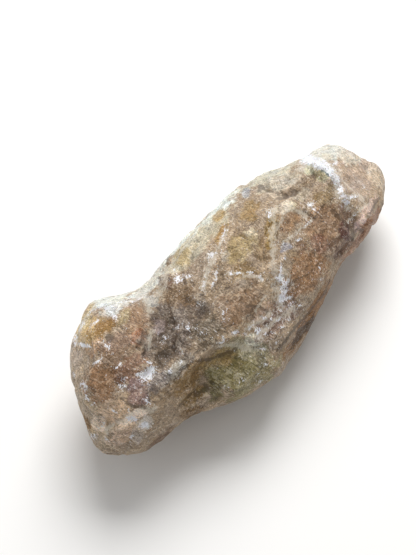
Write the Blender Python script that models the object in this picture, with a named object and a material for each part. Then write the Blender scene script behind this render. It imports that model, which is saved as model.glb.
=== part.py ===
"""A rough, elongated stone of honeycomb calcite, lying on a small flat spot.

The stone is sculpted in millimetres in its own axes: l along its length, b across its breadth and n out
of its broad show face. It starts as a sphere that is drawn out to a loft of unlike sections. Then it is
split by flat breaks, swollen, dented and roughened, and last it is leaned, laid on its resting side and
scaled to metres, with the flat spot at z = 0 and the middle of its length and breadth over the origin.
"""

import math
from itertools import product

import bmesh
import bpy
import numpy as np
from mathutils import Matrix

# Driving dimensions, in millimetres and degrees.
TIP_LOW, TIP_HIGH = -100.0, 119.0  # where the length axis meets the broad end and the narrow end
LEAN = 0.394  # how far the show face falls back for each millimetre of length
ROLL, PITCH = 21.4, -21.5  # turns that lay the stone on its resting side
REST_DEPTH = 36.0  # from the length axis down to the flat spot
SQUARENESS = 2.35  # exponent of the sections: 2 is an ellipse, more is boxier

RINGS, SEGMENTS = 72, 64

# Sections along the length: where, upper and lower edge, reach of the show face and of the back.
SECTIONS = [
    (-95.0, 4.0, -21.5, 14.0, 13.0),
    (-90.0, 14.5, -25.0, 21.0, 19.0),
    (-85.0, 25.0, -29.0, 26.5, 24.0),
    (-75.0, 39.6, -31.0, 32.0, 31.0),
    (-63.0, 45.3, -30.8, 36.0, 36.0),
    (-50.0, 46.6, -33.6, 37.5, 39.0),
    (-40.0, 41.8, -40.8, 37.0, 40.0),
    (-25.0, 36.5, -46.8, 37.0, 41.0),
    (-10.0, 37.7, -49.0, 39.0, 41.5),
    (0.0, 37.8, -51.4, 41.0, 42.0),
    (15.0, 39.8, -47.0, 42.0, 42.0),
    (30.0, 39.4, -43.0, 42.0, 41.0),
    (48.0, 40.0, -35.8, 40.0, 40.0),
    (60.0, 37.0, -29.8, 38.0, 38.5),
    (75.0, 31.6, -29.4, 35.0, 36.0),
    (90.0, 26.6, -29.2, 31.0, 32.0),
    (100.0, 26.0, -24.2, 26.0, 27.0),
    (110.0, 19.2, -17.6, 18.0, 20.0),
    (115.0, 6.0, -12.5, 10.0, 11.0),
]

# Swells and dents: middle, reach along l, b and n, turn about n, height, and shape
# (1 is pointed in the middle, 2 is a bowl or dome, 4 has a flat top or floor).
SWELLS = [
    ((-34.4, 15, 34), (13, 30, 40), -30, -7.0, 1.3),  # the waist between the two lobes
    ((-26, 40, 6), (18, 12, 24), 0, -1.2, 2.0),  # its notch in the upper edge
    ((-41, -0.4, 34), (10, 7, 30), 20, -2.0, 2.0),  # where the waist runs out on the face
    ((-22, -25.7, 26), (22, 14, 40), -14, -10.0, 2.5),  # the deep hollow in the lower edge
    ((-14.4, -18, 30), (8, 3.5, 20), -24, 1.8, 1.5),  # its lip
    ((-36.6, -13, 30), (10, 3.0, 20), 4, 1.4, 1.5),
    ((79, 13, 30), (13, 8, 30), 10, -3.8, 2.2),  # the basin beside the crusted ridge
    ((60.7, 25.6, 32), (11, 3.6, 20), -66, -2.4, 1.3),  # the groove that runs into it
    ((66.5, 19, 32), (10, 3.5, 20), -24, -2.4, 1.3),
    ((58.7, 13, 34), (13, 4.0, 20), 24, 1.6, 1.5),  # lit ledge below the groove
    ((83, -16, 28), (6.5, 14, 24), -8, -4.4, 1.8),  # the fold at the narrow end
    ((90, 14, 27), (4.5, 20, 20), 10, 3.4, 1.3),  # the crusted ridge
    ((89.6, -2.4, 27), (3.5, 9, 20), -14, 2.4, 1.3),
    ((-82, -11.3, 22), (13, 3.5, 20), -28, 1.8, 1.3),  # small ledge at the broad end
    ((-54.5, -1, 35), (8, 5, 10), 0, -1.0, 2.0),  # bruise
    ((6, 14, 38), (26, 7, 20), 24, 1.4, 1.5),  # low step across the face
    ((-12.4, 23.7, 32), (8, 12, 20), -20, 1.5, 1.6),  # shoulder beyond the waist
    ((-50, -2, -38), (30, 22, 40), 20, -5.0, 2.2),  # scoops in the back
    ((60, 24, -34), (26, 14, 40), -15, -5.0, 2.2),
    ((98, 4, -24), (12, 14, 30), 10, -3.0, 2.0),
]

# Flat breaks: a point of the plane, its outward direction, the lengths between which it acts,
# how round its edges are and how wavy it is.
BREAKS = [
    ((-49, 40.4, 19), (0.10, 0.82, 0.56), (-74, -34), 1.2, 0.8),  # bright bevel over the broad lobe
    ((-80.6, 26, 14), (-0.62, 0.62, 0.48), (-100, -66), 1.4, 0.8),  # its outer edge
    ((-59.4, 8.3, 33.5), (-0.14, 0.10, 0.98), (-86, -38), 1.8, 0.6),  # its face
    ((-87, -7.5, 20), (-0.56, -0.16, 0.81), (-104, -74), 1.4, 0.8),  # its outer corner
    ((-56, -16, 29), (-0.02, -0.66, 0.75), (-84, -34), 1.0, 0.6),  # smooth face along its lower edge
    ((5, 35.4, 24), (-0.03, 0.80, 0.60), (-24, 44), 2.0, 1.2),  # upper bevel of the long lobe
    ((62.4, 31.6, 22), (0.16, 0.78, 0.61), (40, 96), 2.0, 1.2),
    ((15.4, 6.4, 38.6), (-0.02, 0.10, 0.99), (-18, 50), 2.0, 0.9),  # its broad face
    ((11.6, -23.4, 33.5), (-0.05, -0.46, 0.89), (-8, 44), 1.4, 1.0),  # chalky slope below that face
    ((57.7, -9, 34), (0.10, -0.24, 0.96), (36, 84), 1.6, 0.7),  # plain face beside the fold
    ((24.3, -35, 26), (0.12, -0.9, 0.4), (0, 60), 0.5, 0.5),  # underside of the long lobe
    ((83, -27, 10), (0.08, -0.97, 0.20), (66, 108), 0.6, 0.4),  # underside of the narrow end
    ((105, 0.3, 15), (0.72, 0.08, 0.69), (96, 122), 1.4, 0.8),  # face of the narrow end
    ((104, 21, 9), (0.52, 0.78, 0.35), (90, 122), 1.4, 0.8),  # its shoulder
    ((-70, -8, -30), (-0.30, -0.25, -0.92), (-102, -46), 1.4, 0.9),  # back of the broad lobe
    ((-48, 34, -24), (-0.15, 0.72, -0.68), (-80, -20), 1.4, 0.9),
    ((10, 28, -31), (0.05, 0.60, -0.80), (-28, 52), 1.6, 1.0),  # back of the long lobe
    ((0, -40, -22), (-0.06, -0.82, -0.57), (-44, 40), 1.4, 0.9),
    ((62, -26, -22), (0.16, -0.66, -0.73), (38, 96), 1.6, 0.9),
    ((92, 8, -26), (0.40, 0.30, -0.87), (76, 122), 1.4, 0.8),  # back of the narrow end
]

# Hackly facets and rounded lumps, from coarse to fine: size of a facet or lump and its height.
FACETS = [(27.0, 3.4), (12.0, 1.2)]
LUMPS = [(44.0, 1.2), (17.0, 0.8), (8.0, 0.45)]


def smooth_through(x, knots, values):
    """Reads a smooth curve through the knots (Catmull-Rom on uneven knots) at x."""
    slopes = np.gradient(values, knots)
    i = np.clip(np.searchsorted(knots, x) - 1, 0, len(knots) - 2)
    gap = knots[i + 1] - knots[i]
    t = np.clip((x - knots[i]) / gap, 0, 1)
    ease = t * t * (3 - 2 * t)
    bend = gap * t * (1 - t) * (slopes[i] * (1 - t) - slopes[i + 1] * t)
    return values[i] * (1 - ease) + values[i + 1] * ease + bend


def scatter(cell, seed):
    """Two repeatable numbers from 0 to 1 for each cell of a lattice."""
    key = cell[:, 0] * 73856093 ^ cell[:, 1] * 19349663 ^ cell[:, 2] * 83492791 ^ seed * 2654435
    key = (key ^ (key >> 13)) * 1274126177 & 0x7FFFFFFF
    key = (key ^ (key >> 15)) * 668265263 & 0x7FFFFFFF
    return (key & 0x7FFF) / 32768, (key >> 15 & 0x7FFF) / 32768


def direction(cell, seed):
    """A repeatable unit vector for each cell of a lattice."""
    turn, rise = scatter(cell, seed)
    rise = 2 * rise - 1
    flat = np.sqrt(1 - rise * rise)
    return np.stack([flat * np.cos(math.tau * turn), flat * np.sin(math.tau * turn), rise], axis=1)


def noise(points, size, seed):
    """Gradient noise from about -1 to 1, with lumps of the given size."""
    p = points / size
    cell = np.floor(p).astype(np.int64)
    inside = p - cell
    ease = inside**3 * (inside * (inside * 6 - 15) + 10)
    total = np.zeros(len(p))
    for corner in product((0, 1), repeat=3):
        share = np.where(corner, ease, 1 - ease).prod(axis=1)
        total += share * (direction(cell + corner, seed) * (inside - corner)).sum(axis=1)
    return total * 1.6


def facets(points, size, seed):
    """Heights of tilted flat patches of unlike sizes, round jittered lattice points, with crisp borders."""
    drift = np.stack([noise(points, 1.1 * size, seed + k) for k in range(3)], axis=1)
    p = points @ np.array(Matrix.Rotation(0.6, 3, (1, 2, 3))) * (0.75, 1, 1.2) / size + 0.35 * drift
    home = np.floor(p).astype(np.int64)
    total = np.zeros(len(p))
    weight = np.full(len(p), 1e-9)
    for step in product((-1, 0, 1), repeat=3):
        cell = home + step
        away = p - cell - 0.5 - 0.4 * direction(cell, seed)
        share = np.exp(-18 * (away * away).sum(axis=1) + 4 * scatter(cell, seed + 90)[0])
        total += share * (direction(cell, seed + 50) * away).sum(axis=1)
        weight += share
    return total / weight * (0.75 + 0.7 * noise(points, 40.0, seed + 70))


def turned(points, middle, degrees):
    """Points as seen from a feature's middle, turned about the n axis."""
    c, s = math.cos(math.radians(degrees)), math.sin(math.radians(degrees))
    q = points - middle
    return np.stack([c * q[:, 0] + s * q[:, 1], c * q[:, 1] - s * q[:, 0], q[:, 2]], axis=1)


def loft(ring, turn):
    """The plain body: squared ellipses along the length, which close to a point at both tips."""
    middle, reach = (TIP_HIGH + TIP_LOW) / 2, (TIP_HIGH - TIP_LOW) / 2
    where, upper, lower, show, back = np.array(SECTIONS).T
    fullness = np.sqrt(1 - ((where - middle) / reach) ** 2)
    l = middle - reach * np.cos(ring)
    close = np.sin(ring)
    centre = smooth_through(l, where, (upper + lower) / 2)
    half = smooth_through(l, where, (upper - lower) / 2 / fullness) * close
    front = smooth_through(l, where, show / fullness) * close
    rear = smooth_through(l, where, back / fullness) * close
    c, s = np.cos(turn), np.sin(turn)
    size = (np.abs(c) ** SQUARENESS + np.abs(s) ** SQUARENESS) ** (-1 / SQUARENESS)
    return np.stack([l, centre + half * c * size, np.where(s > 0, front, rear) * s * size], axis=1)


def outward(points):
    """Rough outward direction: away from the length axis, and off the ends near the tips."""
    middle, reach = (TIP_HIGH + TIP_LOW) / 2, (TIP_HIGH - TIP_LOW) / 2
    away = points * (0, 1, 1)
    away[:, 0] = 40 * ((points[:, 0] - middle) / reach) ** 5
    return away / np.linalg.norm(away, axis=1, keepdims=True)


def swell(points, middle, reach, degrees, height, shape):
    """A swell or dent whose height falls off to nothing at its reach."""
    q = turned(points, middle, degrees) / reach
    distance = np.sqrt((q * q).sum(axis=1))
    share = np.clip(1 - distance**shape, 0, 1) ** 1.4
    return points + outward(points) * (height * share)[:, None]


def flat_break(points, at, facing, span, rounding, waviness):
    """Pushes back what stands past a plane, with a rounded edge and a slightly wavy face."""
    facing = np.array(facing) / np.linalg.norm(facing)
    l = points[:, 0]
    share = 1 / ((1 + np.exp((span[0] - l) / 2.5)) * (1 + np.exp((l - span[1]) / 2.5)))
    past = (points - at) @ facing + waviness * noise(points, 16.0, 7)
    return points - facing * (share * rounding * np.logaddexp(0, past / rounding))[:, None]


def stone(ring, turn):
    """The whole stone's points, in millimetres, lying on z = 0."""
    points = loft(ring, turn)
    for feature in BREAKS:
        points = flat_break(points, *feature)
    for feature in SWELLS:
        points = swell(points, *feature)
    away = outward(points)
    plain = points
    for seed, (size, height) in enumerate(FACETS):
        points = points + away * (height * facets(plain, size, seed + 11))[:, None]
    for seed, (size, height) in enumerate(LUMPS):
        points = points + away * (height * noise(plain, size, seed + 31))[:, None]
    points[:, 2] -= LEAN * (points[:, 0] - (TIP_HIGH + TIP_LOW) / 2)
    lay = Matrix.Rotation(math.radians(ROLL), 3, "X") @ Matrix.Rotation(math.radians(PITCH), 3, "Y")
    points = points @ np.array(lay).T
    points[:, 2] = np.maximum(points[:, 2] + REST_DEPTH, 0)
    return points


def calcite_material():
    material = bpy.data.materials.new("honeycomb_calcite")
    material.use_nodes = True
    shader = material.node_tree.nodes["Principled BSDF"]
    shader.inputs["Base Color"].default_value = (0.38, 0.29, 0.2, 1)
    shader.inputs["Roughness"].default_value = 0.55
    shader.inputs["Metallic"].default_value = 0
    return material


def build_stone(collection):
    body = bmesh.new()
    bmesh.ops.create_uvsphere(body, u_segments=SEGMENTS, v_segments=RINGS, radius=1)
    mesh = bpy.data.meshes.new("calcite_stone")
    body.to_mesh(mesh)
    body.free()
    ball = np.empty(len(mesh.vertices) * 3, np.float32)
    mesh.vertices.foreach_get("co", ball)
    x, y, z = ball.reshape(-1, 3).astype(float).T
    even = np.arccos(np.clip(-z, -1, 1))
    ring = even + 0.2 * np.sin(2 * even)  # evens out the spacing of the rings
    points = stone(ring, np.arctan2(y, x))
    points[:, :2] -= (points.max(axis=0) + points.min(axis=0))[:2] / 2
    mesh.vertices.foreach_set("co", (points * 0.001).astype(np.float32).ravel())
    mesh.update()
    mesh.shade_smooth()
    mesh.materials.append(calcite_material())
    collection.objects.link(bpy.data.objects.new("calcite_stone", mesh))


def main():
    for thing in list(bpy.data.objects):
        bpy.data.objects.remove(thing)
    collection = bpy.data.collections.new("honeycomb calcite")
    bpy.context.scene.collection.children.link(collection)
    build_stone(collection)


main()
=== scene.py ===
import math
from itertools import product

import bpy
import numpy as np
from mathutils import Matrix, Vector


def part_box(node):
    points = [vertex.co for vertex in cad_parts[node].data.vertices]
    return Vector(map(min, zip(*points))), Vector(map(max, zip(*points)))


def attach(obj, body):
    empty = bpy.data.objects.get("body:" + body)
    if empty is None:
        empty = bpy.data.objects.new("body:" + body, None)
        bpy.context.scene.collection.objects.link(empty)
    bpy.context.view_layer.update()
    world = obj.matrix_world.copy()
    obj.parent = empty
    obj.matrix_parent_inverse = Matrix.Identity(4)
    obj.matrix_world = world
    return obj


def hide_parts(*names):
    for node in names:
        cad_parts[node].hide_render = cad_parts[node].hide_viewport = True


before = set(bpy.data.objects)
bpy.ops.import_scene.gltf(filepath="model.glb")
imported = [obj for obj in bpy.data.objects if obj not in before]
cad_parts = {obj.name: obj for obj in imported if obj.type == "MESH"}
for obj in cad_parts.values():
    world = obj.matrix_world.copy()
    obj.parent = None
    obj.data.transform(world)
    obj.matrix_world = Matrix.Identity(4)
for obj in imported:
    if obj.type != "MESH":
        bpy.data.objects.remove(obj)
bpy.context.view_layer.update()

# The stone's form, in millimetres and degrees. l runs along the stone, b across it and n out of its
# show face. These are the same driving numbers as the solid's, with finer roughness on top.
form = {
    "tips": (-100.0, 119.0),  # where the stone begins and ends along l
    "lean": 0.394,  # fall of the show face for each millimetre of length
    "roll": 21.4,  # with the pitch, how it is turned on to its resting side
    "pitch": -21.5,
    "restDepth": 36.0,  # how far under the sculpt's origin the resting spot is cut flat
    "squareness": 2.35,  # 2 gives ellipses, more gives squarer sections
    "rings": 380,
    "segments": 256,
    "crowding": 0.32,  # how much closer the grid stands on the show face
    # where, upper and lower edge, reach of the show face and of the back
    "sections": [
        (-95, 4, -21.5, 14, 13),
        (-90, 14.5, -25, 21, 19),
        (-85, 25, -29, 26.5, 24),
        (-75, 39.6, -31, 32, 31),
        (-63, 45.3, -30.8, 36, 36),
        (-50, 46.6, -33.6, 37.5, 39),
        (-40, 41.8, -40.8, 37, 40),
        (-25, 36.5, -46.8, 37, 41),
        (-10, 37.7, -49, 39, 41.5),
        (0, 37.8, -51.4, 41, 42),
        (15, 39.8, -47, 42, 42),
        (30, 39.4, -43, 42, 41),
        (48, 40, -35.8, 40, 40),
        (60, 37, -29.8, 38, 38.5),
        (75, 31.6, -29.4, 35, 36),
        (90, 26.6, -29.2, 31, 32),
        (100, 26, -24.2, 26, 27),
        (110, 19.2, -17.6, 18, 20),
        (115, 6, -12.5, 10, 11),
    ],
    # flat breaks: a point, the way it faces, the lengths between which it acts, rounding, waviness
    "breaks": [
        ((-49, 40.4, 19), (0.10, 0.82, 0.56), (-74, -34), 1.2, 0.8),  # bright bevel over the broad lobe
        ((-80.6, 26, 14), (-0.62, 0.62, 0.48), (-100, -66), 1.4, 0.8),  # its outer edge
        ((-59.4, 8.3, 33.5), (-0.14, 0.10, 0.98), (-86, -38), 1.8, 0.6),  # its face
        ((-87, -7.5, 20), (-0.56, -0.16, 0.81), (-104, -74), 1.4, 0.8),  # its outer corner
        ((-56, -16, 29), (-0.02, -0.66, 0.75), (-84, -34), 1, 0.6),  # smooth face along its lower edge
        ((5, 35.4, 24), (-0.03, 0.80, 0.60), (-24, 44), 2, 1.2),  # upper bevel of the long lobe
        ((62.4, 31.6, 22), (0.16, 0.78, 0.61), (40, 96), 2, 1.2),
        ((15.4, 6.4, 38.6), (-0.02, 0.10, 0.99), (-18, 50), 2, 0.9),  # its broad face
        ((11.6, -23.4, 33.5), (-0.05, -0.46, 0.89), (-8, 44), 1.4, 1),  # chalky slope below that face
        ((57.7, -9, 34), (0.10, -0.24, 0.96), (36, 84), 1.6, 0.7),  # plain face beside the fold
        ((24.3, -35, 26), (0.12, -0.9, 0.4), (0, 60), 0.5, 0.5),  # underside of the long lobe
        ((83, -27, 10), (0.08, -0.97, 0.20), (66, 108), 0.6, 0.4),  # underside of the narrow end
        ((105, 0.3, 15), (0.72, 0.08, 0.69), (96, 122), 1.4, 0.8),  # face of the narrow end
        ((104, 21, 9), (0.52, 0.78, 0.35), (90, 122), 1.4, 0.8),
        # the back
        ((-70, -8, -30), (-0.30, -0.25, -0.92), (-102, -46), 1.4, 0.9),
        ((-48, 34, -24), (-0.15, 0.72, -0.68), (-80, -20), 1.4, 0.9),
        ((10, 28, -31), (0.05, 0.60, -0.80), (-28, 52), 1.6, 1),
        ((0, -40, -22), (-0.06, -0.82, -0.57), (-44, 40), 1.4, 0.9),
        ((62, -26, -22), (0.16, -0.66, -0.73), (38, 96), 1.6, 0.9),
        ((92, 8, -26), (0.40, 0.30, -0.87), (76, 122), 1.4, 0.8),
    ],
    # swells and dents: middle, reach, turn, height, shape (1 pointed, 2 a bowl, 4 flat)
    "swells": [
        ((-34.4, 15, 34), (13, 30, 40), -30, -7, 1.3),  # waist between the two lobes
        ((-26, 40, 6), (18, 12, 24), 0, -1.2, 2),  # its notch in the upper edge
        ((-41, -0.4, 34), (10, 7, 30), 20, -2, 2),
        ((-22, -25.7, 26), (22, 14, 40), -14, -10, 2.5),  # deep hollow in the lower edge
        ((-14.4, -18, 30), (8, 3.5, 20), -24, 1.8, 1.5),  # its lip
        ((-36.6, -13, 30), (10, 3, 20), 4, 1.4, 1.5),
        ((79, 13, 30), (13, 8, 30), 10, -3.8, 2.2),  # basin beside the crusted ridge
        ((60.7, 25.6, 32), (11, 3.6, 20), -66, -2.4, 1.3),  # groove that runs into it
        ((66.5, 19, 32), (10, 3.5, 20), -24, -2.4, 1.3),
        ((58.7, 13, 34), (13, 4, 20), 24, 1.6, 1.5),  # ledge below the groove
        ((83, -16, 28), (6.5, 14, 24), -8, -4.4, 1.8),  # fold at the narrow end
        ((90, 14, 27), (4.5, 20, 20), 10, 3.4, 1.3),  # crusted ridge
        ((89.6, -2.4, 27), (3.5, 9, 20), -14, 2.4, 1.3),
        ((-82, -11.3, 22), (13, 3.5, 20), -28, 1.8, 1.3),  # small ledge at the broad end
        ((-54.5, -1, 35), (8, 5, 10), 0, -1, 2),
        ((6, 14, 38), (26, 7, 20), 24, 1.4, 1.5),  # low step across the face
        ((-12.4, 23.7, 32), (8, 12, 20), -20, 1.5, 1.6),  # shoulder beyond the waist
        # scoops in the back
        ((-50, -2, -38), (30, 22, 40), 20, -5, 2.2),
        ((60, 24, -34), (26, 14, 40), -15, -5, 2.2),
        ((98, 4, -24), (12, 14, 30), 10, -3, 2),
    ],
    # size and height of each layer; hackle and grit are finer than the solid's triangles
    "facets": [(27.0, 3.4), (12.0, 1.2)],
    "lumps": [(44.0, 1.2), (17.0, 0.8), (8.0, 0.45)],
    "hackle": [(7.0, 0.3), (3.6, 0.2)],
    "grit": [(4.2, 0.3), (2.2, 0.2)],
    "facetCrispness": 18,  # how abruptly one facet gives way to the next
    "hackleCrispness": 50,
    # where the surface is more or less broken than elsewhere: middle, reach, change
    "brokenness": [
        ((-56, -20, 26), (24, 10, 20), -0.6),  # smooth jowl of the broad lobe
        ((8, -8, 38), (18, 10, 14), -0.3),  # smooth belly of the long lobe
        ((-30, 8, 32), (20, 14, 20), 0.4),
        ((-22, -30, 24), (22, 14, 24), 0.4),
        ((68, 20, 30), (20, 10, 16), 0.6),
        ((10, -28, 28), (24, 8, 16), 0.4),
    ],
    "reliefRounds": 4,  # rounds of averaging that the fine relief is measured against
}

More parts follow.
